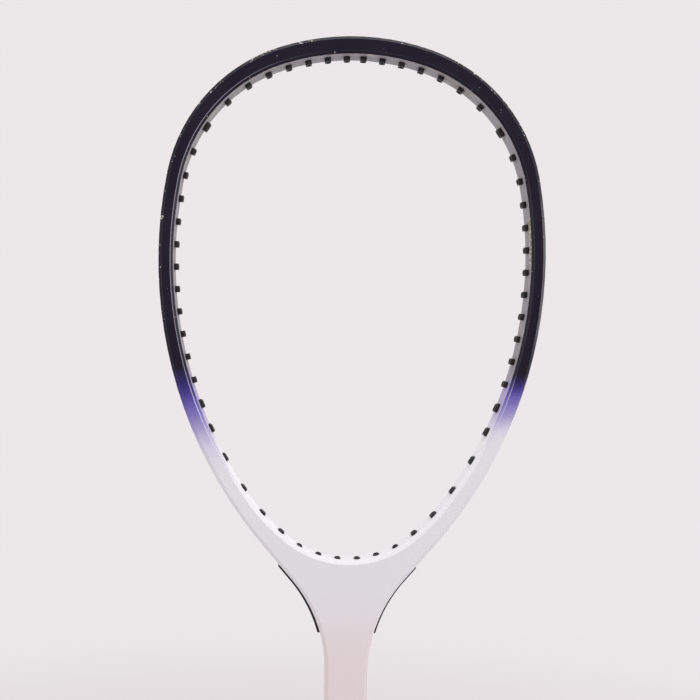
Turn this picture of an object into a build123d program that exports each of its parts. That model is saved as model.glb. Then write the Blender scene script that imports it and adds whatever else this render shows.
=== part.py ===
"""One-shaft string racket, unstrung: a hollow moulded frame with its grommets, throat strips and grip.

The racket stands on its butt, head up. X runs across the head, Z up the shaft, and the string
plane is Y = 0. The origin is the centre of the butt's end face. Sizes are in millimetres.
"""

import os
from math import cos, radians, sin
from typing import NamedTuple

from build123d import *

# ---- Frame outline, seen square on -------------------------------------------------
OVERALL_LENGTH = 686.0
CROWN_RADIUS = 145.0
CROWN_ANGLE = 18.5  # degrees turned from the centre line to the shoulder
SHOULDER_RADIUS = 100.0
SHOULDER_ANGLE = 61.0
FLANK_RADIUS = 267.0
FLANK_ANGLE = 51.6
THROAT_RADIUS = 84.0
SHAFT_WIDTH = 25.6
TANG_WIDTH = 21.0  # the shaft inside the handle
TANG_TOP = 190.0
TANG_TAPER = 6.0
TANG_BOTTOM = 14.0

# ---- Window, which leaves the hoop's tube between it and the outline ------------------
TUBE_AT_CROWN = 10.8
TUBE_AT_SIDE = 8.8
FLANK_SWELL = 9.2  # the flanks of the window curve this much tighter than the tube alone asks
WINDOW_FLANK_ANGLE = 47.0
WINDOW_CORNER_RADIUS = 120.0
WINDOW_CORNER_ANGLE = 15.6

# ---- Frame section ------------------------------------------------------------------
FRAME_DEPTH = 19.0
WALL = 1.3
OUTER_BEVEL = 2.0
WINDOW_BEVEL = 2.0
GROOVE_WIDTH = 6.6
GROOVE_DEPTH = 2.0
FOAM_CLEARANCE = 0.05
FOAM_DROP = 2.0  # the foam ends this far below the throat strips

# ---- String holes ---------------------------------------------------------------------
TOP_MAINS = 8
TOP_MAIN_FIRST = 5.1
TOP_MAIN_PITCH = 11.6
TOP_MAIN_SPREAD = 0.09  # the pitch grows away from the centre line
CROSSES = 13
CROSS_BELOW_MAINS = 15.4  # the highest cross below the outermost main's hole at the top
CROSS_ABOVE_MAINS = 17.4  # the lowest cross above the outermost main's hole at the bottom
CROSS_CROWDING = 0.03  # the crosses lie this share closer at the middle of the head
BOTTOM_MAINS = 7
BOTTOM_MAIN_FIRST = 6.1
BOTTOM_MAIN_PITCH = 11.6
OVAL_CROSSES = 2  # lowest crosses, whose grommets are oval like those of the mains below them
THROAT_TUBES = 3  # middle bottom mains on each side run through the throat
THROAT_TUBE_ANGLE = 21.0
THROAT_TUBE_FAN_ANGLE = 2.0

# ---- Grommets and throat strips -------------------------------------------------------
BARREL_RADIUS = 1.8
BARREL_STRETCH = 1.6  # how much deeper than wide a barrel is, front to back
BARREL_REACH = 2.7  # how far a barrel stands out of the window's wall
LOW_REACH = 1.4  # the same near the throat, where the tube is thicker
WANE_TOP = 210.0  # below the top of the head, from where the reach wanes
WANE_BOTTOM = 260.0
THROAT_TUBE_REACH = 1.0
TIP_BEVEL = 0.5
BORE_RADIUS = 0.9
OVAL_SPREAD = 1.8  # how much longer than wide an oval barrel is, along the hoop
HEAD_LIP = 0.6
HEAD_THICKNESS = 1.0
HEAD_SEAT = 0.15
HOLE_CLEARANCE = 0.05
STRIP_ABOVE = 1.6  # beyond the highest throat tube
STRIP_BELOW = 12.8  # beyond the lowest throat tube
STRIP_PROUD = 1.7
STRIP_CLEARANCE = 0.1

# ---- Handle -----------------------------------------------------------------------------
PALLET_WIDTH = 29.3
PALLET_DEPTH = 25.5
PALLET_BEVEL = 6.3
PALLET_TOP = 186.0
PALLET_CLEARANCE = 0.1
CAP_BASE = 6.0
CAP_FLOOR = 4.0
CAP_LIP = 2.2
CAP_EDGE_FILLET = 1.6
CAP_LIP_BEVEL = 0.8
SKIRT_TOP = 34.0
SKIRT_WALL_LOW = 1.8
SKIRT_WALL_HIGH = 0.8
TACK_HEIGHT = 10.0
TACK_HEAD_RADIUS = 1.7
TACK_HEAD_DEPTH = 0.7
TACK_SHANK_RADIUS = 0.6
TACK_LENGTH = 7.0
TACK_SINK = 0.1  # the heads lie this far below the skirt's face
TACK_CLEARANCE = 0.05
WRAP_THICKNESS = 1.8
WRAP_TOP = 184.0
FLARE_TOP = 48.0
TAPE_WIDTH = 12.0
TAPE_THICKNESS = 0.3
COLLAR_WALL = 1.2
COLLAR_BOTTOM = 180.0
COLLAR_SLEEVE_TOP = 188.0
COLLAR_TOP = 204.0
SOFT_GAP = 0.1

CAVITY_INSET = GROOVE_DEPTH + WALL
THROAT_ANGLE = CROWN_ANGLE + SHOULDER_ANGLE + FLANK_ANGLE - 90
HEAD_MIDDLE = OVERALL_LENGTH - CROWN_RADIUS


# ---- Outlines -------------------------------------------------------------------------
def frame_outline(inset):
    """The frame's outer outline, moved inwards by inset."""
    half_shaft = SHAFT_WIDTH / 2 - inset
    half_tang = TANG_WIDTH / 2 - inset
    throat_radius = THROAT_RADIUS + inset
    with BuildLine() as outline:
        crown = JernArc((0, OVERALL_LENGTH - inset), (1, 0), CROWN_RADIUS - inset, -CROWN_ANGLE)
        shoulder = JernArc(crown @ 1, crown % 1, SHOULDER_RADIUS - inset, -SHOULDER_ANGLE)
        flank = JernArc(shoulder @ 1, shoulder % 1, FLANK_RADIUS - inset, -FLANK_ANGLE)
        throat_width = throat_radius * (1 - cos(radians(THROAT_ANGLE)))
        run = ((flank @ 1).X - half_shaft - throat_width) / sin(radians(THROAT_ANGLE))
        neck = Line(flank @ 1, flank @ 1 + (flank % 1) * run)
        throat = JernArc(neck @ 1, neck % 1, throat_radius, THROAT_ANGLE)
        Polyline(
            throat @ 1,
            (half_shaft, TANG_TOP + TANG_TAPER),
            (half_tang, TANG_TOP),
            (half_tang, TANG_BOTTOM),
            (0, TANG_BOTTOM),
        )
        mirror(about=Plane.YZ)
    return outline.line


def window_outline(outset):
    """The outline of the strung window, moved outwards by outset."""
    flank_radius = FLANK_RADIUS - TUBE_AT_SIDE - FLANK_SWELL + outset
    turned = CROWN_ANGLE + SHOULDER_ANGLE + WINDOW_FLANK_ANGLE + WINDOW_CORNER_ANGLE
    with BuildLine() as outline:
        top = (0, OVERALL_LENGTH - TUBE_AT_CROWN + outset)
        crown = JernArc(top, (1, 0), CROWN_RADIUS - TUBE_AT_SIDE + outset, -CROWN_ANGLE)
        shoulder_radius = SHOULDER_RADIUS - TUBE_AT_SIDE + outset
        shoulder = JernArc(crown @ 1, crown % 1, shoulder_radius, -SHOULDER_ANGLE)
        flank = JernArc(shoulder @ 1, shoulder % 1, flank_radius, -WINDOW_FLANK_ANGLE)
        corner_radius = WINDOW_CORNER_RADIUS + outset
        corner = JernArc(flank @ 1, flank % 1, corner_radius, -WINDOW_CORNER_ANGLE)
        bottom_radius = (corner @ 1).X / sin(radians(turned))
        JernArc(corner @ 1, corner % 1, bottom_radius, turned - 180)
        mirror(about=Plane.YZ)
    return outline.line


def cast(outline, start, direction):
    """The point where a line from start first meets the outline, and the unit normal there."""
    start = Vector(*start)
    direction = Vector(*direction).normalized()
    ray = Edge.make_line(start, start + direction * OVERALL_LENGTH)
    hits = []
    for edge in outline.edges():
        for point in edge.find_intersection_points(ray):
            tangent = edge.tangent_at(edge.param_at_point(point))
            hits.append((point, Vector(-tangent.Y, tangent.X)))
    point, normal = min(hits, key=lambda hit: (hit[0] - start).length)
    outwards = 1 if normal.dot(direction) > 0 else -1
    return point, normal * outwards


WINDOW = window_outline(0)
GROOVE_FLOOR = frame_outline(GROOVE_DEPTH)
WINDOW_BOTTOM = cast(WINDOW, (0, HEAD_MIDDLE), (0, -1))[0].Y


# ---- String holes ---------------------------------------------------------------------
class StringHole(NamedTuple):
    """A hole on the right side, from its barrel's tip in the window to the floor of the groove."""

    tip: Plane  # faces outwards, level with the window's wall
    direction: Vector  # outwards along the hole
    reach: float  # from the tip to the window's wall
    depth: float  # from the window's wall to the groove's floor
    seat: Plane  # on the groove's floor, facing outwards
    spread: float

    @property
    def height(self):
        """How high the hole opens in the window's wall."""
        return (self.tip.origin + self.direction * self.reach).Z


def upright_plane(point, normal):
    """A plane through a point of the outline, square to the string plane, that faces along normal."""
    return Plane(
        origin=(point.X, 0, point.Y),
        x_dir=(-normal.Y, 0, normal.X),
        z_dir=(normal.X, 0, normal.Y),
    )


def hoop_reach(height):
    """How far a barrel at a height stands out of the window's wall."""
    waned = (OVERALL_LENGTH - height - WANE_TOP) / (WANE_BOTTOM - WANE_TOP)
    return BARREL_REACH + (LOW_REACH - BARREL_REACH) * min(max(waned, 0), 1)


def string_hole(start, direction, spread=0.0, lean=None):
    """The hole that a string from start runs to; square to the wall unless it leans into the throat."""
    point, normal = cast(WINDOW, start, direction)
    along, reach = normal, hoop_reach(point.Y)
    if lean is not None:
        along, reach = Vector(sin(radians(lean)), -cos(radians(lean))), THROAT_TUBE_REACH
    floor, floor_normal = cast(GROOVE_FLOOR, (point.X, point.Y), (along.X, along.Y))
    tip = upright_plane(point - along * reach, normal)
    seat = upright_plane(floor, floor_normal)
    return StringHole(tip, Vector(along.X, 0, along.Y), reach, (floor - point).length, seat, spread)


def top_main_holes():
    """Main strings at the top, from the centre line out; the outermost shares its hole."""
    for k in range(TOP_MAINS):
        x = TOP_MAIN_FIRST + TOP_MAIN_PITCH * k + TOP_MAIN_SPREAD * k**2
        yield string_hole((x, HEAD_MIDDLE), (0, 1), OVAL_SPREAD if k == TOP_MAINS - 1 else 0)


def bottom_main_holes():
    """Main strings at the bottom that come through the hoop, from the outermost in, ever less oval."""
    for k in range(BOTTOM_MAINS - 1, THROAT_TUBES - 1, -1):
        x = BOTTOM_MAIN_FIRST + BOTTOM_MAIN_PITCH * k
        spread = OVAL_SPREAD * (k + 1 - THROAT_TUBES) / (BOTTOM_MAINS - THROAT_TUBES)
        yield string_hole((x, HEAD_MIDDLE), (0, -1), spread)


def throat_holes():
    """Main strings that run down through the throat, from the outermost in."""
    for k in range(THROAT_TUBES - 1, -1, -1):
        x = BOTTOM_MAIN_FIRST + BOTTOM_MAIN_PITCH * k
        lean = THROAT_TUBE_ANGLE + THROAT_TUBE_FAN_ANGLE * k
        yield string_hole((x, HEAD_MIDDLE), (0, -1), lean=lean)


TOP_HOLES = list(top_main_holes())
BOTTOM_HOLES = list(bottom_main_holes())
THROAT_HOLES = list(throat_holes())


def cross_holes():
    """Cross strings, from the top down, spread over the height that the mains leave them."""
    highest = TOP_HOLES[-1].height - CROSS_BELOW_MAINS
    lowest = BOTTOM_HOLES[0].height + CROSS_ABOVE_MAINS
    for k in range(CROSSES):
        share = 1 - 2 * k / (CROSSES - 1)
        share += CROSS_CROWDING * (share**3 - share)
        z = (highest + lowest) / 2 + share * (highest - lowest) / 2
        yield string_hole((0, z), (1, 0), OVAL_SPREAD if k >= CROSSES - OVAL_CROSSES else 0)


HOOP_HOLES = [*TOP_HOLES, *cross_holes(), *BOTTOM_HOLES]
STRIP_TOP = THROAT_HOLES[0].seat.origin.Z + STRIP_ABOVE
STRIP_BOTTOM = THROAT_HOLES[-1].seat.origin.Z - STRIP_BELOW


def eight_sided(radius, length=0.0, depth=0.0):
    """A round section, drawn out by a length and a depth, with eight flats that keep it light to draw."""
    Rectangle(2 * radius + length, 2 * radius + depth)
    chamfer(vertices(), radius * (2 - 2**0.5))


def run(hole, radius, length):
    """A rod of a barrel's or bore's section from a hole's tip to a length beyond the window's wall."""
    with BuildPart() as rod:
        with BuildSketch(hole.tip):
            eight_sided(radius, hole.spread, BARREL_STRETCH)
        extrude(amount=hole.reach + length, dir=hole.direction)
    return rod.part


def string_passages(radius):
    """Cutters for all the string holes on both sides, of one radius."""
    with BuildPart() as cutters:
        for hole in [*HOOP_HOLES, *THROAT_HOLES]:
            add(run(hole, radius, hole.depth + GROOVE_DEPTH))
        mirror(about=Plane.YZ)
    return cutters.part


def frame_band(outer_inset, inner_inset, bottom, top, width):
    """The frame's edge between two insets of its outline, cut off at two heights."""
    with BuildPart() as band:
        with BuildSketch(Plane.XZ):
            with BuildLine():
                add(frame_outline(outer_inset))
            make_face()
            with BuildLine():
                add(frame_outline(inner_inset))
            make_face(mode=Mode.SUBTRACT)
        extrude(amount=width / 2, both=True)
        with Locations((0, 0, (bottom + top) / 2)):
            Box(OVERALL_LENGTH, width, top - bottom, mode=Mode.INTERSECT)
    return band.part


def save(part, name):
    """Label a finished piece and write it under its own name."""
    part.label = name
    export_step(part, f"parts/{name}.step")


# ---- Frame shell ------------------------------------------------------------------------
def frame_core(outer_inset, window_outset, depth):
    """A slab with the outline of the frame and its window, centred on the string plane."""
    with BuildPart() as slab:
        with BuildSketch(Plane.XZ):
            with BuildLine():
                add(frame_outline(outer_inset))
            make_face()
            with BuildLine():
                add(window_outline(window_outset))
            make_face(mode=Mode.SUBTRACT)
        extrude(amount=depth / 2, both=True)
    return slab.part


def throat_cavity(clearance, top):
    """The hollow of the shaft and throat up to a height, made smaller by a clearance all round."""
    with BuildPart() as cavity:
        with BuildSketch(Plane.XZ):
            with BuildLine():
                add(frame_outline(CAVITY_INSET + clearance))
            make_face()
            with Locations((0, TANG_BOTTOM)):
                Rectangle(OVERALL_LENGTH, 2 * (top - TANG_BOTTOM), mode=Mode.INTERSECT)
        extrude(amount=FRAME_DEPTH / 2 - WALL - clearance, both=True)
    return cavity.part


os.makedirs("parts", exist_ok=True)

with BuildPart() as frame_shell:
    add(frame_core(0, 0, FRAME_DEPTH))
    sides = frame_shell.faces().filter_by(Axis.Y).group_by(Axis.Y)
    rims = [side[0] for side in (sides[0], sides[-1])]
    outer_edges = [edge for rim in rims for edge in rim.outer_wire().edges()]
    window_edges = [edge for rim in rims for edge in rim.inner_wires()[0].edges()]
    chamfer(ShapeList(outer_edges).filter_by_position(Axis.Z, TANG_BOTTOM + 1, OVERALL_LENGTH), OUTER_BEVEL)
    chamfer(window_edges, WINDOW_BEVEL)
    # string groove round the hoop and down both sides of the throat
    groove_top = OVERALL_LENGTH + STRIP_PROUD
    groove = frame_band(-STRIP_PROUD, GROOVE_DEPTH, STRIP_BOTTOM, groove_top, GROOVE_WIDTH)
    add(groove, mode=Mode.SUBTRACT)
    add(throat_cavity(0, WINDOW_BOTTOM - WALL), mode=Mode.SUBTRACT)
    add(string_passages(BARREL_RADIUS + HOLE_CLEARANCE), mode=Mode.SUBTRACT)
save(frame_shell.part, "frame_shell")

# ---- Foam core --------------------------------------------------------------------------
foam_core = throat_cavity(FOAM_CLEARANCE, STRIP_BOTTOM - FOAM_DROP)
save(foam_core, "foam_core")


# ---- Grommets -----------------------------------------------------------------------------
def barrel(hole, length):
    """A barrel that starts at its bevelled tip in the window and ends at a depth in the frame."""
    with BuildPart() as piece:
        add(run(hole, BARREL_RADIUS, length))
        tip = piece.faces().sort_by(Axis(hole.tip.origin, hole.direction))[0]
        chamfer(tip.edges(), TIP_BEVEL)
    return piece.part


def string_bore(hole):
    """The cutter that opens a barrel and whatever it ends in for the string."""
    return run(hole, BORE_RADIUS, hole.depth + 3 * GROOVE_DEPTH)


def grommet(hole):
    """A barrel through the tube with a flat head in the string groove, bored for the string."""
    head_size = 2 * (BARREL_RADIUS + HEAD_LIP)
    with BuildPart() as piece:
        add(barrel(hole, hole.depth + HEAD_SEAT + HEAD_THICKNESS / 2))
        with BuildSketch(hole.seat.offset(HEAD_SEAT)):
            Rectangle(head_size + hole.spread, head_size + BARREL_STRETCH)
        extrude(amount=HEAD_THICKNESS)
        add(string_bore(hole), mode=Mode.SUBTRACT)
    return piece.part


for number, hole in enumerate(HOOP_HOLES, start=1):
    with BuildPart() as grommet_pair:
        add(grommet(hole))
        mirror(about=Plane.YZ)
    save(grommet_pair.part, f"grommet_pair_{number:02d}")

# ---- Throat strips --------------------------------------------------------------------------
with BuildPart() as throat_strip_right:
    strip_inset = GROOVE_DEPTH - STRIP_CLEARANCE
    strip_bottom = STRIP_BOTTOM + STRIP_CLEARANCE
    strip_width = GROOVE_WIDTH - 2 * STRIP_CLEARANCE
    strips = frame_band(-STRIP_PROUD, strip_inset, strip_bottom, STRIP_TOP, strip_width)
    add(strips.solids().sort_by(Axis.X)[-1])
    for hole in THROAT_HOLES:
        add(barrel(hole, hole.depth + GROOVE_DEPTH / 2))
    for hole in THROAT_HOLES:
        add(string_bore(hole), mode=Mode.SUBTRACT)
save(throat_strip_right.part, "throat_strip_right")

with BuildPart() as throat_strip_left:
    add(mirror(throat_strip_right.part, about=Plane.YZ))
save(throat_strip_left.part, "throat_strip_left")


# ---- Handle ---------------------------------------------------------------------------------
PALLET_SECTION = (PALLET_WIDTH, PALLET_DEPTH, PALLET_BEVEL)
SHAFT_SECTION = (SHAFT_WIDTH, FRAME_DEPTH, OUTER_BEVEL)
TANG_SECTION = (TANG_WIDTH, FRAME_DEPTH, OUTER_BEVEL)


def corners(section, growth, height):
    """The corners of a bevelled rectangle, grown all round, at a height."""
    width, depth, bevel = section
    x = width / 2 + growth
    y = depth / 2 + growth
    cut = bevel + growth * (2 - 2**0.5)  # the bevels move out by growth too
    right = [(x - cut, -y), (x, cut - y), (x, y - cut), (x - cut, y)]
    left = [(-u, -v) for u, v in right]
    return [(u, v, height) for u, v in right + left]


def taper(low, high):
    """A solid with flat sides between two rings of corners at different heights."""
    ends = [Face(Wire.make_polygon(ring)) for ring in (low, high)]
    quads = zip(low, low[1:] + low[:1], high[1:] + high[:1], high)
    sides = [Face(Wire.make_polygon(quad)) for quad in quads]
    return Solid(Shell([*ends, *sides]))


def octagon_taper(low_growth, bottom, high_growth, top):
    """A length of the grip's section that changes its growth evenly from bottom to top."""
    return taper(corners(PALLET_SECTION, low_growth, bottom), corners(PALLET_SECTION, high_growth, top))


def skirt_growth(height):
    """How far the butt cap's skirt stands out from the pallet at a height."""
    share = (height - CAP_BASE) / (SKIRT_TOP - CAP_BASE)
    return SKIRT_WALL_LOW + share * (SKIRT_WALL_HIGH - SKIRT_WALL_LOW)


TACK_FACE = PALLET_DEPTH / 2 + skirt_growth(TACK_HEIGHT) - TACK_SINK


def tack_pair(clearance=0.0):
    """Flat-headed tacks through the skirt's two wide faces, or their holes if given a clearance."""
    with BuildPart() as pair:
        with BuildSketch(Plane.XZ.offset(TACK_FACE)):
            with Locations((0, TACK_HEIGHT)):
                eight_sided(TACK_HEAD_RADIUS + clearance)
        extrude(amount=-TACK_HEAD_DEPTH)
        with BuildSketch(Plane.XZ.offset(TACK_FACE)):
            with Locations((0, TACK_HEIGHT)):
                eight_sided(TACK_SHANK_RADIUS + clearance)
        extrude(amount=-TACK_LENGTH)
        mirror(about=Plane.XZ)
    return pair.part


PALLET_BOTTOM = CAP_FLOOR + PALLET_CLEARANCE
TANG_HOLE_BOTTOM = TANG_BOTTOM - PALLET_CLEARANCE

with BuildPart() as handle_pallet:
    add(octagon_taper(0, PALLET_BOTTOM, 0, PALLET_TOP))
    tang_low, tang_high = (corners(TANG_SECTION, PALLET_CLEARANCE, z) for z in (TANG_HOLE_BOTTOM, PALLET_TOP))
    add(taper(tang_low, tang_high), mode=Mode.SUBTRACT)
    add(tack_pair(TACK_CLEARANCE), mode=Mode.SUBTRACT)
save(handle_pallet.part, "handle_pallet")

with BuildPart() as butt_cap:
    base_growth = SKIRT_WALL_LOW + WRAP_THICKNESS + CAP_LIP
    add(octagon_taper(base_growth, 0, base_growth, CAP_BASE))
    ends = butt_cap.faces().filter_by(Axis.Z).sort_by(Axis.Z)
    end_edges, lip_edges = ends[0].edges(), ends[-1].edges()
    fillet(end_edges, CAP_EDGE_FILLET)
    chamfer(lip_edges, CAP_LIP_BEVEL)
    add(octagon_taper(SKIRT_WALL_LOW, CAP_BASE, SKIRT_WALL_HIGH, SKIRT_TOP))
    add(octagon_taper(PALLET_CLEARANCE, CAP_FLOOR, PALLET_CLEARANCE, SKIRT_TOP), mode=Mode.SUBTRACT)
    add(tack_pair(TACK_CLEARANCE), mode=Mode.SUBTRACT)
save(butt_cap.part, "butt_cap")

save(tack_pair(), "butt_cap_tacks")

with BuildPart() as grip_wrap:
    flare_growth = SKIRT_WALL_LOW + WRAP_THICKNESS
    add(octagon_taper(flare_growth, CAP_BASE + SOFT_GAP, WRAP_THICKNESS, FLARE_TOP))
    add(octagon_taper(WRAP_THICKNESS, FLARE_TOP, WRAP_THICKNESS, WRAP_TOP))
    low, high = SKIRT_WALL_LOW + SOFT_GAP, SKIRT_WALL_HIGH + SOFT_GAP
    add(octagon_taper(low, CAP_BASE, high, SKIRT_TOP + SOFT_GAP), mode=Mode.SUBTRACT)
    add(octagon_taper(SOFT_GAP, CAP_BASE, SOFT_GAP, WRAP_TOP), mode=Mode.SUBTRACT)
save(grip_wrap.part, "grip_wrap")

TAPE_INSIDE = WRAP_THICKNESS + SOFT_GAP
TAPE_OUTSIDE = TAPE_INSIDE + TAPE_THICKNESS

with BuildPart() as finishing_tape:
    tape_bottom = WRAP_TOP - TAPE_WIDTH
    add(octagon_taper(TAPE_OUTSIDE, tape_bottom, TAPE_OUTSIDE, WRAP_TOP))
    add(octagon_taper(TAPE_INSIDE, tape_bottom, TAPE_INSIDE, WRAP_TOP), mode=Mode.SUBTRACT)
save(finishing_tape.part, "finishing_tape")


def collar_body(sleeve_growth, shaft_growth):
    """A sleeve over the grip's top end that draws in to the shaft."""
    sleeve_top = corners(PALLET_SECTION, sleeve_growth, COLLAR_SLEEVE_TOP)
    with BuildPart() as body:
        add(octagon_taper(sleeve_growth, COLLAR_BOTTOM, sleeve_growth, COLLAR_SLEEVE_TOP))
        add(taper(sleeve_top, corners(SHAFT_SECTION, shaft_growth, COLLAR_TOP)))
    return body.part


with BuildPart() as grip_collar:
    collar_inside = TAPE_OUTSIDE + SOFT_GAP
    add(collar_body(collar_inside + COLLAR_WALL, SOFT_GAP + COLLAR_WALL))
    add(collar_body(collar_inside, SOFT_GAP), mode=Mode.SUBTRACT)
save(grip_collar.part, "grip_collar")
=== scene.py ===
"""The looks of an unstrung one-shaft racket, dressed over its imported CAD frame.

Everything is in metres in the frame's own axes: the racket stands on its butt, X runs across the
head, Z up the shaft, the string plane is Y = 0, and the front faces -Y.
"""

from math import cos, pi, radians, sin, sqrt

import bpy
from mathutils import Matrix, Vector


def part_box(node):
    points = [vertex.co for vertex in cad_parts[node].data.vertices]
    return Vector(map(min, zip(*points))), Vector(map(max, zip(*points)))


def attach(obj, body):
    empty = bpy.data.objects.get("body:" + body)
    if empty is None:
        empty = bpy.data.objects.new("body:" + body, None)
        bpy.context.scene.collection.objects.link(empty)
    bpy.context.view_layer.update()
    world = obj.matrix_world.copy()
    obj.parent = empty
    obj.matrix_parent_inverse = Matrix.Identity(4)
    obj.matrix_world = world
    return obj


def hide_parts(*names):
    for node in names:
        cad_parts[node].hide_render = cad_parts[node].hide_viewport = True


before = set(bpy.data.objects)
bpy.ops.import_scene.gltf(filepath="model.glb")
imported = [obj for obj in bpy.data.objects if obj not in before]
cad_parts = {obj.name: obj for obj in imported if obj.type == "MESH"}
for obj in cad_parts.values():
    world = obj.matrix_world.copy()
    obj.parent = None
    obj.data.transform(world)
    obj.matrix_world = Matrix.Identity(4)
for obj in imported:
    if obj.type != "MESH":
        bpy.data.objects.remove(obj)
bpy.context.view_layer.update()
MM = 0.001
BODY = "root"

# ---- Places on the racket ---------------------------------------------------------------
FRAME_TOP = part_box("frame_shell")[1].z
STRIP_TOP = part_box("throat_strip_left")[1].z
HEAD_CENTRE = Vector((0, 0, (STRIP_TOP + FRAME_TOP) / 2))
SILVER_EDGE = 7.8 * MM  # front to back, the silver inside the hoop ends this far from the middle
CREST = 9.1 * MM  # and the edges of the flat faces begin this far from it
LINE_BLUR = 0.1 * MM  # how softly both of these lines end

# ---- Paint --------------------------------------------------------------------------------
NAVY_STARTS = 0.484  # from this height the paint fades down to pearl
FADE_LENGTH = 50.5 * MM
FADE_SKEW = 0.091  # the fade was sprayed longer on the left than on the right
FADE_CLOUD = 2.5 * MM  # how far large clouds and fine grain move the fade up or down
FADE_GRAIN = 2 * MM
SHAFT_TINT = (0.355, 0.295)  # between these heights the pearl turns pinkish
MORE_CHIPS = (0.56, 0.66)  # and between these the outer edge gets more of its chips
KNOCK_GAIN = 0.085  # how much likelier chips are where the edge was knocked
HIGHLIGHT_LEFT = 0.85  # shares of the painted highlight on the edges inside the hoop, on the left
HIGHLIGHT_FADED = 0.5  # in the fade
HIGHLIGHT_TRACE = 0.06  # and on every edge
RUBBED_AT = 0.5625  # height of the rubbed place on the right of the silver
RUBBED_REACH = (18 * MM, 11 * MM)  # where it ends and where it is whole, above and below
RUBBED_SIDE = (90 * MM, 100 * MM)  # it lies this far out on the right
RUBBED_FRONT = (-1 * MM, -3 * MM)  # and in the front half of the tube
GOUGE = (-0.1157, -0.0088, 0.5749)  # the one deep knock, on the outer edge at the left
GOUGE_SIZE = (1.4 * MM, 1.1 * MM)  # where it ends and where it is bare
GOUGE_RAGGED = 0.8 * MM
FADE_COLOURS = (  # share of the fade, and the colour there
    (0.0, (22, 18, 36)),
    (0.06, (33, 27, 58)),
    (0.14, (47, 38, 100)),
    (0.25, (70, 59, 136)),
    (0.36, (100, 90, 165)),
    (0.47, (126, 117, 180)),
    (0.58, (152, 145, 193)),
    (0.68, (180, 175, 206)),
    (0.82, (206, 203, 219)),
    (1.0, (217, 216, 220)),
)

# Which surface is which, each as the values of a mask's start and its full strength
OFF_WALL = (0.25, 0.4)  # a bevel looks more to the front or back than a wall does
OFF_FACE = (0.95, 0.85)  # and less than a flat face
TURNED_IN = (0.2, 0.35)  # a wall or bevel looks towards the middle of the head
TURNED_OUT = (0.1, -0.3)  # or away from it
TURNED_RIGHT = (0.1, 0.6)

# ---- Grommets -------------------------------------------------------------------------------
BORE_RADIUS = 0.9 * MM
BORE_MOUTH = 0.15 * MM  # how far and how deep the bore opens out at the tip
BORE_CORNER_SHARE = 0.9  # of the bore's radius
BARREL_RADIUS = 1.9 * MM
BARREL_STRETCH = 1.6 * MM  # how much deeper than wide a bore and a barrel are, front to back
BARREL_FULLNESS = 0.3 * MM  # how much fuller a barrel is front to back than its bore asks
BARREL_CORNER = 1.2 * MM
TIP_ROUND = 0.4 * MM
TIP_LENGTH = 2.2 * TIP_ROUND
HEAD_LIP = 0.6 * MM
HEAD_THICKNESS = 1.0 * MM
HEAD_EDGE = 0.25 * MM
HEAD_CORNER = 1.45 * MM
NOSE_CUT = 0.9 * MM  # how far the upper end of a low oval barrel's tip is rounded away
NOSE_POWER = 2.5
NOSED_BELOW = 0.47  # barrels lower than this have the rounded nose
QUARTER_STEPS = 7  # the rounded corner of a section is made of this many straight steps
SAME_HEIGHT = 0.02 * MM
SAME_PLACE = 0.1 * MM

# ---- Grip -----------------------------------------------------------------------------------
HANDLE_SECTION = (16.45 * MM, 14.55 * MM, 7.35 * MM)  # half width, half depth, bevel
FLARE_TOP = 48 * MM  # below this height the handle widens towards the butt
TAPE_PITCH = 24 * MM
TAPE_STEP = 0.4 * MM
TAPE_OVERLAP = 0.16  # share of the pitch over which an edge of the tape lies on the turn below
TAPE_EDGE = 0.5 * MM  # the length over which a turn's upper edge runs out
TAPE_PILLOW = 0.12 * MM
PERFORATION = 2.6 * MM
HOLE_EDGE = (0.19, 0.12)  # a hole's rim and its floor, as shares of the distance between holes
WRAP_SINK = 0.35 * MM  # the first layer lies this far inside the CAD's wrap
WRAP_THICKNESS = 1.6 * MM
WRAP_END = (0.8 * MM, 0.5 * MM)  # length and depth of the rounding at both ends
CORNER_SHARPNESS = 26  # a higher power leaves sharper corners on the octagon
WRAP_ROWS_PER_MM = 2.6
WRAP_SIDES = 96

# The collar, with its places as shares of its height
SLEEVE_BEVEL = 9.0 * MM
NECK_SECTION = (14.1 * MM, 10.8 * MM, 2.7 * MM)  # half width, half depth, bevel
COLLAR_WALL = 1.15 * MM
COLLAR_SINK = 0.3 * MM
COLLAR_STEPS = 40
BEND_START, BEND_LENGTH = 0.28, 0.6  # where the sleeve draws in to the neck
BEAD_PLACES = (0.1, 0.93)
BEAD_SPREAD = 0.045
BEAD_HEIGHT = 0.25 * MM
LIP_SPREAD = 0.03
LIP_DEPTH = 0.35 * MM

# ---- Stage ------------------------------------------------------------------------------------
WORLD_LIGHT = 0.72
FLOOR_SIZE = 60
FLOOR_FADE = (0.45, 1.3)  # how far out the floor starts and ends to become the backdrop
LIGHTS = (  # name, place, aim, width, height, radiance
    ("key", (1.1, -1.4, 1.65), (0, 0, 0.45), 1.3, 1.3, 2.95),
    ("fill", (-1.6, -0.9, 0.9), (0, 0, 0.5), 1.0, 1.0, 2.0),
    ("side", (1.5, -0.2, 0.55), (0, 0, 0.55), 0.3, 0.8, 2.4),
    ("rim", (1.45, 0.4, 0.6), (0, 0, 0.55), 0.25, 0.6, 3.5),
    ("top", (0, -0.1, 2.1), (0, 0, 0.5), 1.6, 1.6, 1.0),
)
CAMERA_PLACE = (-0.0434, -0.6499, 0.5009)
CAMERA_YAW, CAMERA_ROLL = radians(1.2), radians(0.92)
CAMERA_LENS, CAMERA_SENSOR = 54.8, 36
CAMERA_SHIFT = (0.0688, -0.0115)


def srgb(red, green, blue):
    """A colour given as it looks on a screen, 0 to 255, as the shader wants it."""
    levels = (level / 255 for level in (red, green, blue))
    linear = (c / 12.92 if c < 0.04045 else ((c + 0.055) / 1.055) ** 2.4 for c in levels)
    return tuple(linear) + (1,)


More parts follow.
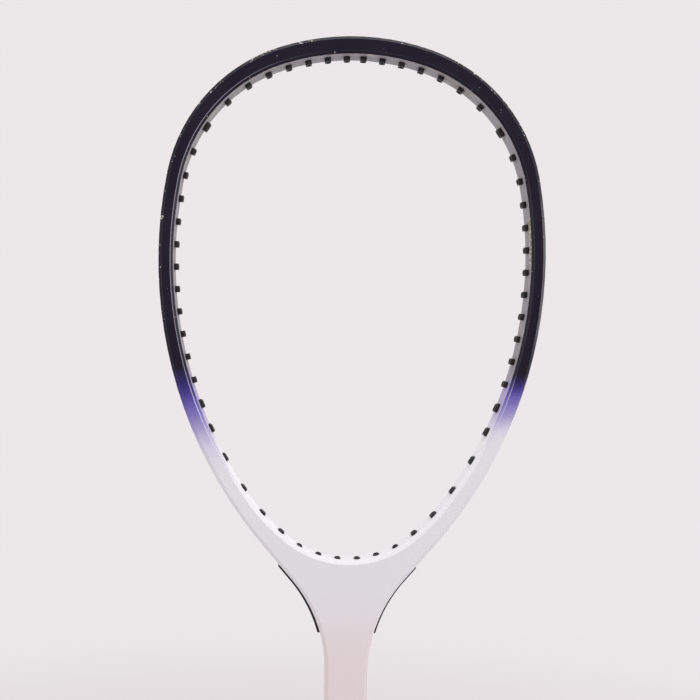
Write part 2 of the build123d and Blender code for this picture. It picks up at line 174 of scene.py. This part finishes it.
BACKDROP = srgb(236, 231, 233)


# ---- Materials ----------------------------------------------------------------------------------
class Finish:
    """One material, whose nodes are added by short calls that take values or other sockets."""

    def __init__(self, name, **constants):
        self.material = bpy.data.materials.new(name)
        self.material.use_nodes = True
        self.tree = self.material.node_tree
        self.shader = self.tree.nodes["Principled BSDF"]
        for socket, value in constants.items():
            self.shader.inputs[socket.replace("_", " ")].default_value = value
        self.place = self.node("ShaderNodeTexCoord").outputs["Object"]

    def node(self, kind, values=(), **settings):
        made = self.tree.nodes.new(kind)
        for setting, value in settings.items():
            setattr(made, setting, value)
        for socket, value in dict(values).items():
            self.feed(made.inputs[socket], value)
        return made

    def feed(self, socket, value):
        if isinstance(value, bpy.types.NodeSocket):
            self.tree.links.new(value, socket)
        else:
            socket.default_value = value

    def math(self, operation, *values):
        return self.node("ShaderNodeMath", enumerate(values), operation=operation).outputs[0]

    def both(self, mask, other):
        """A mask that is full only where two masks are."""
        return self.math("MULTIPLY", mask, other)

    def vector(self, operation, *values, output="Vector"):
        made = self.node("ShaderNodeVectorMath", enumerate(values), operation=operation)
        return made.outputs[output]

    def parts(self, vector):
        """The three numbers of a vector."""
        return tuple(self.node("ShaderNodeSeparateXYZ", {"Vector": vector}).outputs)

    def noise(self, scale, detail=3.0, stretch=(1, 1, 1), roughness=0.5):
        mapping = {"Vector": self.place, "Scale": stretch}
        place = self.node("ShaderNodeMapping", mapping).outputs[0]
        values = {"Vector": place, "Scale": scale, "Detail": detail, "Roughness": roughness}
        return self.node("ShaderNodeTexNoise", values).outputs["Fac"]

    def cells(self, scale):
        """The distance to the nearest of many points, for pores and grain."""
        values = {"Vector": self.place, "Scale": scale}
        return self.node("ShaderNodeTexVoronoi", values).outputs["Distance"]

    def step(self, value, low, high, start=0.0, end=1.0):
        """A smooth step from start to end as the value goes from low to high."""
        limits = {"From Min": low, "From Max": high, "To Min": start, "To Max": end}
        values = {"Value": value, **limits}
        return self.node("ShaderNodeMapRange", values, interpolation_type="SMOOTHSTEP").outputs[0]

    def mix(self, share, one, other):
        made = self.node("ShaderNodeMix", data_type="RGBA")
        for index, value in ((0, share), (6, one), (7, other)):
            self.feed(made.inputs[index], value)
        return made.outputs[2]

    def ramp(self, value, stops):
        made = self.node("ShaderNodeValToRGB", {"Fac": value})
        elements = made.color_ramp.elements
        while len(elements) < len(stops):
            elements.new(1.0)
        for element, (position, colour) in zip(elements, stops):
            element.position, element.color = position, srgb(*colour)
        return made.outputs["Color"]

    def bump(self, height, distance, strength=1.0, normal=None):
        values = {"Height": height, "Distance": distance, "Strength": strength}
        if normal is not None:
            values["Normal"] = normal
        return self.node("ShaderNodeBump", values).outputs[0]

    def finish(self, **sockets):
        for socket, value in sockets.items():
            self.feed(self.shader.inputs[socket.replace("_", " ")], value)
        return self.material


class Lacquer(Finish):
    """The frame's paint, with masks for its surfaces and for the fade."""

    def __init__(self):
        super().__init__("frame_lacquer", IOR=1.45, Specular_IOR_Level=0.16)
        self.across, self.back, self.height = self.parts(self.place)
        self.depth = self.math("ABSOLUTE", self.back)
        normal = self.node("ShaderNodeNewGeometry").outputs["True Normal"]
        self.normal_x, normal_y, _ = self.parts(normal)
        flat_on = self.math("ABSOLUTE", normal_y)
        self.on_bevel = self.both(self.step(flat_on, *OFF_WALL), self.step(flat_on, *OFF_FACE))

        to_centre = self.vector("SUBTRACT", HEAD_CENTRE, self.place)
        to_centre = self.vector("NORMALIZE", to_centre)
        self.facing = self.vector("DOT_PRODUCT", to_centre, normal, output="Value")
        inward = self.step(self.facing, *TURNED_IN)
        self.inner_bevel = self.both(self.on_bevel, inward)
        between_lines = self.step(self.depth, SILVER_EDGE, SILVER_EDGE - LINE_BLUR)
        self.inner_wall = self.both(inward, between_lines)
        self.fade = self.faded()

    def faded(self):
        """How far the paint has faded, 0 at the navy and 1 at the pearl, uneven and grainy."""
        cloud = self.step(self.noise(34), 0.2, 0.8, -FADE_CLOUD, FADE_CLOUD)
        grain = self.step(self.noise(2600, 2), 0.3, 0.7, -FADE_GRAIN, FADE_GRAIN)
        uneven = self.math("ADD", self.height, self.math("ADD", cloud, grain))
        drop = self.math("SUBTRACT", NAVY_STARTS, uneven)
        skew = self.math("MULTIPLY", self.across, FADE_SKEW)
        return self.math("DIVIDE", drop, self.math("SUBTRACT", FADE_LENGTH, skew))

    def coat(self):
        """Navy, the sprayed fade and the pearl, which is lighter round the window."""
        cloudy = self.step(self.noise(45, 4, (1, 1, 0.3)), 0.35, 0.7)
        navy = self.mix(cloudy, srgb(21, 17, 33), srgb(28, 23, 37))
        pearl = self.mix(self.noise(18), srgb(216, 214, 217), srgb(221, 220, 223))
        pearl = self.mix(self.step(self.height, *SHAFT_TINT), pearl, srgb(218, 206, 206))
        pearl = self.mix(self.inner_bevel, pearl, srgb(231, 229, 232))
        violet = self.ramp(self.fade, FADE_COLOURS)
        coat = self.mix(self.step(self.fade, 0.0, 0.05), navy, violet)
        return self.mix(self.step(self.fade, 0.95, 1.25), coat, pearl)

    def band(self):
        """Silver inside the hoop, scuffed by strings and hands; violet, then white lower down."""
        scuffs = self.step(self.noise(160, 6, (1, 1, 0.35), 0.7), 0.54, 0.66)
        stains = self.step(self.noise(24, 3), 0.5, 0.75)
        silver = self.mix(stains, srgb(146, 144, 148), srgb(141, 135, 130))
        silver = self.mix(scuffs, silver, srgb(172, 168, 163))
        marks = self.step(self.noise(520, 2), 0.48, 0.56)
        worn = self.mix(marks, srgb(128, 118, 108), srgb(196, 191, 172))
        silver = self.mix(self.rubbed(), silver, worn)
        band = self.mix(self.step(self.fade, -0.1, 0.35), silver, srgb(178, 170, 208))
        return self.mix(self.step(self.fade, 0.35, 1.0), band, srgb(243, 241, 244))

    def rubbed(self):
        """The rubbed place beside the grommets on the right."""
        away = self.math("ABSOLUTE", self.math("SUBTRACT", self.height, RUBBED_AT))
        here = self.both(self.step(self.across, *RUBBED_SIDE), self.step(away, *RUBBED_REACH))
        return self.both(here, self.step(self.back, *RUBBED_FRONT))

    def painted_edge_highlight(self):
        """Painted highlight on the edges beside the flat faces: inside the hoop most on the left,
        where they face the lamps on the right, else a trace.
        """
        crest = self.step(self.depth, CREST - LINE_BLUR, CREST + LINE_BLUR)
        lit = self.both(self.inner_bevel, self.step(self.normal_x, *TURNED_RIGHT))
        faded = self.both(self.inner_bevel, self.step(self.fade, 0.0, 0.15))
        left = self.math("MULTIPLY", lit, HIGHLIGHT_LEFT)
        shine = self.math("ADD", left, self.math("MULTIPLY", faded, HIGHLIGHT_FADED))
        shine = self.math("ADD", shine, HIGHLIGHT_TRACE)
        shine = self.both(shine, self.step(self.fade, 1.3, 0.8))
        return self.both(self.both(self.on_bevel, crest), self.math("MINIMUM", shine, 1.0))

    def chips(self):
        """Chips and specks in the dark part, most of them outside at the top of the hoop."""
        outer = self.step(self.facing, *TURNED_OUT, 0.03, 1.0)
        knocked = self.both(outer, self.step(self.height, *MORE_CHIPS, 0.35, 1.0))
        knocked = self.both(self.step(self.noise(28, 2), 0.45, 0.55), knocked)
        knocked = self.math("MULTIPLY", knocked, KNOCK_GAIN)
        field = self.math("ADD", self.noise(420, 3, roughness=0.7), knocked)
        chips = self.both(self.step(field, 0.69, 0.71), self.on_bevel)
        specks = self.step(self.noise(700, 2), 0.765, 0.785, 0.0, 0.8)
        away = self.vector("DISTANCE", self.place, GOUGE, output="Value")
        ragged = self.step(self.noise(900, 2), 0.3, 0.7, -GOUGE_RAGGED, GOUGE_RAGGED)
        gouge = self.step(self.math("ADD", away, ragged), *GOUGE_SIZE, 0.0, 0.85)
        bare = self.math("MAXIMUM", self.math("MAXIMUM", chips, gouge), specks)
        return self.both(bare, self.step(self.fade, 0.0, -0.4))


def lacquer():
    """Navy hoop that fades through violet to a pearl throat, with a silver band inside the hoop."""
    paint = Lacquer()
    colour = paint.mix(paint.inner_wall, paint.coat(), paint.band())
    # Painted highlight: the crests of the edges beside the flat faces are painted lighter,
    # grey-violet in the navy and pale lilac towards the pearl
    edge = paint.mix(paint.step(paint.fade, 0.0, 0.4), srgb(136, 134, 150), srgb(206, 202, 228))
    colour = paint.mix(paint.painted_edge_highlight(), colour, edge)
    chips = paint.chips()
    colour = paint.mix(chips, colour, srgb(190, 194, 184))

    soft_edges = paint.node("ShaderNodeBevel", {"Radius": 0.4 * MM}, samples=6).outputs[0]
    peel = paint.bump(paint.noise(110, 1), 0.1 * MM, 0.12, soft_edges)
    gloss = paint.step(paint.noise(60, 5), 0.3, 0.75, 0.13, 0.22)
    gloss = paint.math("ADD", gloss, paint.math("MULTIPLY", paint.inner_wall, 0.3))
    rough = paint.math("ADD", gloss, paint.math("MULTIPLY", chips, 0.3))
    return paint.finish(Base_Color=colour, Roughness=rough, Normal=peel)


def nylon():
    """Satin black moulded nylon of the grommets and throat strips."""
    plastic = Finish("black_nylon", Specular_IOR_Level=0.35)
    mottled = plastic.mix(plastic.noise(500), srgb(15, 11, 12), srgb(27, 22, 23))
    rough = plastic.step(plastic.noise(900, 4), 0.3, 0.7, 0.38, 0.55)
    grain = plastic.bump(plastic.noise(1500), 0.1 * MM, 0.3)
    return plastic.finish(Base_Color=mottled, Roughness=rough, Normal=grain)


def cap_plastic():
    """Fine-grained black plastic of the butt cap."""
    plastic = Finish("cap_plastic", Specular_IOR_Level=0.4)
    tone = plastic.mix(plastic.noise(120, 5), srgb(28, 28, 31), srgb(40, 39, 43))
    rough = plastic.step(plastic.noise(300), 0.3, 0.7, 0.42, 0.6)
    grain = plastic.bump(plastic.cells(1900), 0.1 * MM, 0.5)
    return plastic.finish(Base_Color=tone, Roughness=rough, Normal=grain)


def collar_rubber():
    """Matt rubber of the grip collar."""
    sheen = {"Sheen_Weight": 0.15, "Sheen_Roughness": 0.6}
    rubber = Finish("collar_rubber", Specular_IOR_Level=0.3, **sheen)
    worn = rubber.step(rubber.noise(70, 5), 0.4, 0.75)
    bloom = rubber.mix(worn, srgb(24, 24, 26), srgb(44, 43, 46))
    rough = rubber.step(rubber.noise(400), 0.3, 0.7, 0.6, 0.8)
    grain = rubber.bump(rubber.noise(1200, 4), 0.1 * MM, 0.5)
    return rubber.finish(Base_Color=bloom, Roughness=rough, Normal=grain)


def perforated(tape):
    """A mask of the pinholes, which stand in offset rows along the tape."""
    places = tape.parts(tape.node("ShaderNodeUVMap", uv_map="tape").outputs["UV"])
    along, up = (tape.math("DIVIDE", place, PERFORATION) for place in places[:2])
    along = tape.math("ADD", along, tape.math("MULTIPLY", tape.math("FLOOR", up), 0.5))
    offsets = (tape.math("SUBTRACT", tape.math("FRACT", part), 0.5) for part in (along, up))
    squares = (tape.math("POWER", offset, 2.0) for offset in offsets)
    reach = tape.math("SQRT", tape.math("ADD", *squares))
    return tape.step(reach, *HOLE_EDGE)


def grip_tape():
    """Tacky perforated grip tape with a fine grain and worn shine."""
    sheen = {"Sheen_Weight": 0.1, "Sheen_Roughness": 0.5}
    tape = Finish("grip_tape", Specular_IOR_Level=0.35, **sheen)
    hole = perforated(tape)
    tone = tape.mix(tape.noise(60, 5), srgb(33, 33, 36), srgb(46, 45, 48))
    # Painted shade: the pinholes are painted near black inside
    tone = tape.mix(hole, tone, srgb(10, 10, 11))
    grain = tape.bump(tape.noise(1600, 4), 0.15 * MM, 0.35)
    pitted = tape.bump(tape.math("SUBTRACT", 1.0, hole), 0.4 * MM, 0.7, grain)
    worn = tape.step(tape.noise(40, 4), 0.35, 0.7, 0.5, 0.68)
    rough = tape.math("ADD", worn, tape.math("MULTIPLY", hole, 0.2))
    return tape.finish(Base_Color=tone, Roughness=rough, Normal=pitted)


def adhesive_tape():
    """Smooth black tape that holds the grip's end."""
    tape = Finish("adhesive_tape", Specular_IOR_Level=0.5)
    tone = tape.mix(tape.noise(90), srgb(20, 20, 22), srgb(31, 31, 34))
    rough = tape.step(tape.noise(200), 0.3, 0.7, 0.26, 0.4)
    creases = tape.bump(tape.noise(500, 2, (1, 1, 4)), 0.1 * MM, 0.3)
    return tape.finish(Base_Color=tone, Roughness=rough, Normal=creases)


def tack_steel():
    """Plated steel of the butt cap's tacks, with turning marks."""
    steel = Finish("tack_steel", Metallic=1.0)
    tone = steel.mix(steel.noise(700), srgb(150, 150, 152), srgb(188, 187, 185))
    rough = steel.step(steel.noise(1500, 2, (1, 0.1, 1)), 0.3, 0.7, 0.25, 0.4)
    return steel.finish(Base_Color=tone, Roughness=rough)


def foam():
    """Rigid foam with small cells, for the core and the handle pallet."""
    block = Finish("rigid_foam", Specular_IOR_Level=0.2)
    pore = block.cells(900)
    # Painted shade: the pores are painted darker towards their middles, where the bump sinks them
    tone = block.mix(block.step(pore, 0.0, 0.5), srgb(176, 160, 118), srgb(214, 200, 160))
    pitted = block.bump(pore, 0.3 * MM, 0.6)
    return block.finish(Base_Color=tone, Roughness=0.85, Normal=pitted)


# ---- Meshes -------------------------------------------------------------------------------------
def piece(name, vertices, faces, material, slot, *nodes):
    """A smooth mesh that stands for CAD nodes, takes a finish and rides on the racket; the slot is
    not used.
    """
    mesh = bpy.data.meshes.new(name)
    mesh.from_pydata(vertices, [], faces)
    mesh.materials.append(material)
    mesh.polygons.foreach_set("use_smooth", [True] * len(mesh.polygons))
    made = bpy.data.objects.new(name, mesh)
    bpy.context.scene.collection.objects.link(made)
    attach(made, BODY)
    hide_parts(*nodes)
    return made


def ring_faces(rings, sides, first=0):
    """Quads between rings of vertices, with the last ring joined back to the first."""
    faces = []
    for ring in range(rings):
        low, high = first + ring * sides, first + (ring + 1) % rings * sides
        for k in range(sides):
            after = (k + 1) % sides
            faces.append((low + k, low + after, high + after, high + k))
    return faces


def bore_ends(node, side):
    """The middle and the crosswise line of a bore at its tip and at its head, on one side."""
    upright = BORE_RADIUS * (sqrt(2) - 1) + BARREL_STRETCH / 2  # half height of its upright sides
    found = []
    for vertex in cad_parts[node].data.vertices:
        x, y, z = vertex.co
        if x * side > 0 and abs(abs(y) - upright) < SAME_HEIGHT:
            point = Vector((x, 0, z))
            if all((point - other).length > SAME_PLACE for other in found):
                found.append(point)
    found.sort(key=lambda point: (point - HEAD_CENTRE).length)
    return [((a + b) / 2, b - a) for a, b in (found[:2], found[-2:])]


def square_to(line, away_from):
    """The direction in the string plane square to a line, pointing away from a place."""
    normal = Vector((-line.z, 0, line.x)).normalized()
    return normal if normal.dot(away_from) > 0 else -normal


def rounded_section(half_length, half_depth, corner):
    """A rounded rectangle as pairs of a step along the hoop, upwards first, and one to the back."""
    section = []
    for quarter in range(4):
        for k in range(QUARTER_STEPS + 1):
            angle = (quarter + k / QUARTER_STEPS) * pi / 2
            along = (half_length - corner) * (1 if quarter in (0, 3) else -1) + corner * cos(angle)
            back = (half_depth - corner) * (1 if quarter < 2 else -1) + corner * sin(angle)
            section.append((along, back))
    return section


def barrel_section(spread, shrink=0.0):
    """The section of a barrel made smaller all round."""
    half_length = BARREL_RADIUS + spread / 2 - shrink
    half_depth = BARREL_RADIUS + BARREL_STRETCH / 2 + BARREL_FULLNESS - shrink
    return rounded_section(half_length, half_depth, BARREL_CORNER - shrink)


def bore_section(spread, growth=0.0):
    """The section of the bore, opened out by a growth."""
    radius = BORE_RADIUS + growth
    half_depth = radius + BARREL_STRETCH / 2
    return rounded_section(radius + spread / 2, half_depth, radius * BORE_CORNER_SHARE)


def head_section(spread, shrink=0.0):
    """The section of the flat head that sits in the string groove, made smaller all round."""
    half_length = BARREL_RADIUS + HEAD_LIP + spread / 2 - shrink
    half_depth = BARREL_RADIUS + HEAD_LIP + BARREL_STRETCH / 2 - shrink
    return rounded_section(half_length, half_depth, HEAD_CORNER - shrink)


def barrel_levels(length, spread, nose):
    """The barrel's outside, its rounded tip and its bore, as pairs of a depth and a section."""
    turns = (0, pi / 6, pi / 3, pi / 2)
    arc = [(TIP_ROUND * (1 - sin(turn)), TIP_ROUND * (1 - cos(turn))) for turn in turns]
    levels = [(length, barrel_section(spread)), (TIP_LENGTH + nose, barrel_section(spread))]
    levels += [(depth, barrel_section(spread, shrink)) for depth, shrink in arc]
    levels += [(0, bore_section(spread, BORE_MOUTH))]
    levels += [(depth, bore_section(spread)) for depth in (BORE_MOUTH, length)]
    return levels


def head_levels(spread):
    """The head from the side of the barrel round to its face and the bore's mouth."""
    return [
        (-HEAD_THICKNESS, bore_section(spread)),
        (-HEAD_THICKNESS, head_section(spread, HEAD_EDGE)),
        (-HEAD_THICKNESS + HEAD_EDGE, head_section(spread)),
        (-HEAD_EDGE, head_section(spread)),
        (0, head_section(spread, HEAD_EDGE)),
        (0, bore_section(spread, HEAD_EDGE)),
        (-HEAD_EDGE, bore_section(spread)),
    ]


def placed_rings(levels, start, way, spread, nose=0.0):
    """Sections set out as rings of points along a way; a nose rounds the tip's upper end away."""
    across = Vector((-way.z, 0, way.x))
    across *= 1 if across.z > 0 else -1
    rings = []
    for level, section in levels:
        ring = []
        for along, back in section:
            upward = max(0, along / (BARREL_RADIUS + spread / 2)) ** NOSE_POWER
            sink = nose * upward if level <= TIP_ROUND else 0
            ring.append(start + way * (level + sink) + across * along + Vector((0, back, 0)))
        rings.append(ring)
    return rings


def grommet_pair(node, material):
    """Both grommets of a pair as moulded parts, on the axes of the CAD node's bores."""
    vertices, faces = [], []
    for side in (-1, 1):
        (tip, line), (top, seat_line) = bore_ends(node, side)
        axis = square_to(line, tip - HEAD_CENTRE)
        normal = square_to(seat_line, axis)
        spread = max(0, line.length - 2 * BORE_RADIUS)
        nose = NOSE_CUT if spread > 0 and tip.z < NOSED_BELOW else 0
        length = (top - tip).dot(axis) - HEAD_THICKNESS / 2
        barrel = placed_rings(barrel_levels(length, spread, nose), tip, axis, spread, nose)
        head = placed_rings(head_levels(spread), top, normal, spread)
        for rings in (barrel, head):
            faces += ring_faces(len(rings), len(rings[0]), len(vertices))
            vertices += [point for ring in rings for point in ring]
    return piece(node + "_moulded", vertices, faces, material, "grommet", node)


def turn_angles():
    """The angles of the points of one ring round the handle."""
    return [2 * pi * k / WRAP_SIDES for k in range(WRAP_SIDES)]


def octagon_reach(half_width, half_depth, bevel, angle):
    """How far a bevelled rectangle with soft corners reaches from its middle at an angle."""
    diagonal = (half_width + half_depth - bevel) / sqrt(2)
    total = 0
    for k in range(8):
        distance = (half_width, diagonal, half_depth, diagonal)[k % 4]
        total += max(0, cos(angle - k * pi / 4) / distance) ** CORNER_SHARPNESS
    return total ** (-1 / CORNER_SHARPNESS)


def tape_rise(share):
    """How high the tape lies over the first layer, at a share of the pitch above its lower edge."""
    lap = max(0, 1 - share / TAPE_OVERLAP)
    run_out = min(1, (1 - share) * TAPE_PITCH / TAPE_EDGE)
    pillow = TAPE_PILLOW * sin(pi * share) * run_out
    return TAPE_STEP * lap * lap * (3 - 2 * lap) + pillow


def grip_wrap(material):
    """Grip tape wound up the handle: each turn's lower edge lies on the turn below it."""
    low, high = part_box("grip_wrap")
    half_width, half_depth, bevel = HANDLE_SECTION
    flare = high.x - half_width
    end_length, end_depth = WRAP_END
    rows = round((high.z - low.z) / MM * WRAP_ROWS_PER_MM)
    vertices, places = [], []
    for row in range(rows + 1):
        z = low.z + (high.z - low.z) * row / rows
        grown = flare * max(0, (FLARE_TOP - z) / (FLARE_TOP - low.z))
        end = min(1, (z - low.z) / end_length, (high.z - z) / end_length)
        for angle in turn_angles():
            share = ((z - low.z) / TAPE_PITCH - angle / (2 * pi)) % 1
            reach = octagon_reach(half_width + grown, half_depth + grown, bevel, angle)
            reach += tape_rise(share) - WRAP_SINK - end_depth * (1 - end) ** 2
            vertices.append((reach * cos(angle), reach * sin(angle), z))
            places.append((angle * (half_width + half_depth) / 2, share * TAPE_PITCH))
    for z, grown in ((high.z, 0), (FLARE_TOP, 0), (low.z, flare)):
        for angle in turn_angles():
            reach = octagon_reach(half_width + grown, half_depth + grown, bevel, angle)
            reach -= WRAP_THICKNESS
            vertices.append((reach * cos(angle), reach * sin(angle), z))
    faces = ring_faces(rows + 4, WRAP_SIDES)
    made = piece("grip_wrap_tape", vertices, faces, material, "grip_wrap", "grip_wrap")
    lay_out(made, places, pi * (half_width + half_depth))
    return made


def lay_out(wrap, places, turn_length):
    """Give the wrap's outside its places along the tape; the inside has none and stays at 0."""
    layer = wrap.data.uv_layers.new(name="tape")
    for polygon in wrap.data.polygons:
        corners = [wrap.data.loops[i].vertex_index for i in polygon.loop_indices]
        closes_ring = max(corner % WRAP_SIDES for corner in corners) == WRAP_SIDES - 1
        for i, corner in zip(polygon.loop_indices, corners):
            along, up = places[corner] if corner < len(places) else (0, 0)
            if closes_ring and corner < len(places) and corner % WRAP_SIDES == 0:
                along += turn_length
            layer.data[i].uv = (along, up)


def grip_collar(material):
    """Rubber collar: a sleeve over the grip's top with two raised beads, drawn in to the shaft."""
    low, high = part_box("grip_collar")
    sleeve = (high.x, high.y, SLEEVE_BEVEL)
    outside = []
    for step in range(COLLAR_STEPS + 1):
        share = step / COLLAR_STEPS
        bend = min(1, max(0, (share - BEND_START) / BEND_LENGTH))
        eased = bend * bend * (3 - 2 * bend)
        bumps = (max(0, 1 - ((share - place) / BEAD_SPREAD) ** 2) for place in BEAD_PLACES)
        ends = (max(0, 1 - to_end / LIP_SPREAD) ** 2 for to_end in (share, 1 - share))
        growth = sum(bumps) * BEAD_HEIGHT - COLLAR_SINK - sum(ends) * LIP_DEPTH
        outside.append((share, eased, growth))
    inside = [(share, eased, -COLLAR_WALL) for share, eased, _ in reversed(outside)]
    vertices = []
    for share, eased, growth in outside + inside:
        section = [wide + (slim - wide) * eased for wide, slim in zip(sleeve, NECK_SECTION)]
        z = low.z + (high.z - low.z) * share
        for angle in turn_angles():
            reach = octagon_reach(*section, angle) + growth
            vertices.append((reach * cos(angle), reach * sin(angle), z))
    faces = ring_faces(len(outside) * 2, WRAP_SIDES)
    return piece("grip_collar_moulded", vertices, faces, material, "grip_collar", "grip_collar")


# ---- Stage --------------------------------------------------------------------------------------
def floor():
    """A wide pale floor that takes the shadow and runs out into the backdrop's colour."""
    surface = Finish("pale_floor", Specular_IOR_Level=0.1)
    tone = surface.mix(surface.noise(3), srgb(232, 227, 229), srgb(238, 233, 235))
    surface.finish(Base_Color=tone, Roughness=0.9)
    away = surface.vector("LENGTH", surface.place, output="Value")
    glow = surface.node("ShaderNodeEmission", {"Color": BACKDROP, "Strength": 1.0})
    blend = surface.node("ShaderNodeMixShader", {0: surface.step(away, *FLOOR_FADE)})
    surface.feed(blend.inputs[1], surface.shader.outputs[0])
    surface.feed(blend.inputs[2], glow.outputs[0])
    surface.feed(surface.tree.nodes["Material Output"].inputs["Surface"], blend.outputs[0])
    bpy.ops.mesh.primitive_plane_add(size=FLOOR_SIZE)
    plane = bpy.context.object
    plane.name = "floor"
    plane.data.materials.append(surface.material)


def light(name, place, aim, width, height, radiance):
    """A soft rectangular light at a place, aimed at another and as bright as its radiance."""
    lamp = bpy.data.lights.new(name, "AREA")
    lamp.shape, lamp.size, lamp.size_y = "RECTANGLE", width, height
    lamp.energy = radiance * pi * width * height
    made = bpy.data.objects.new(name, lamp)
    bpy.context.scene.collection.objects.link(made)
    made.location = place
    made.rotation_euler = (Vector(aim) - Vector(place)).to_track_quat("-Z", "Y").to_euler()


def backdrop():
    """A pale world that is seen at full strength and lights the racket at a lower one."""
    world = bpy.data.worlds.new("pale")
    world.use_nodes = True
    tree = world.node_tree
    background = tree.nodes["Background"]
    background.inputs["Color"].default_value = BACKDROP
    rays = tree.nodes.new("ShaderNodeLightPath").outputs
    seen = rays["Is Camera Ray"]
    for kind in ("Is Glossy Ray", "Is Transmission Ray"):
        either = tree.nodes.new("ShaderNodeMath")
        either.operation = "MAXIMUM"
        tree.links.new(seen, either.inputs[0])
        tree.links.new(rays[kind], either.inputs[1])
        seen = either.outputs[0]
    strength = tree.nodes.new("ShaderNodeMapRange")
    strength.inputs["To Min"].default_value = WORLD_LIGHT
    tree.links.new(seen, strength.inputs["Value"])
    tree.links.new(strength.outputs[0], background.inputs["Strength"])
    bpy.context.scene.world = world


def camera():
    """The photograph's viewpoint: a little left of the head's middle, nearly square on, rolled."""
    data = bpy.data.cameras.new("camera")
    data.sensor_width, data.lens = CAMERA_SENSOR, CAMERA_LENS
    data.shift_x, data.shift_y = CAMERA_SHIFT
    made = bpy.data.objects.new("camera", data)
    bpy.context.scene.collection.objects.link(made)
    level = Vector((cos(CAMERA_YAW), -sin(CAMERA_YAW), 0))
    ahead = Vector((sin(CAMERA_YAW), cos(CAMERA_YAW), 0))
    right = level * cos(CAMERA_ROLL) + Vector((0, 0, sin(CAMERA_ROLL)))
    turned = Matrix((right, ahead.cross(right) * -1, -ahead)).transposed()
    made.matrix_world = Matrix.Translation(CAMERA_PLACE) @ turned.to_4x4()
    bpy.context.scene.camera = made


# ---- Dressing -----------------------------------------------------------------------------------
def dress():
    """New materials for the CAD nodes that stay, and pieces for the ones that are replaced."""
    black = nylon()
    plain_foam = foam()
    finishes = {
        "frame_shell": lacquer(),
        "foam_core": plain_foam,
        "handle_pallet": plain_foam,
        "throat_strip_left": black,
        "throat_strip_right": black,
        "butt_cap": cap_plastic(),
        "butt_cap_tacks": tack_steel(),
        "finishing_tape": adhesive_tape(),
    }
    for node, material in finishes.items():
        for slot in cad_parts[node].material_slots:
            slot.material = material
    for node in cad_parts:
        if node.startswith("grommet_pair"):
            grommet_pair(node, black)
    grip_wrap(grip_tape())
    grip_collar(collar_rubber())


dress()
floor()
backdrop()
for lamp in LIGHTS:
    light(*lamp)
camera()
bpy.context.scene.view_settings.view_transform = "Standard"
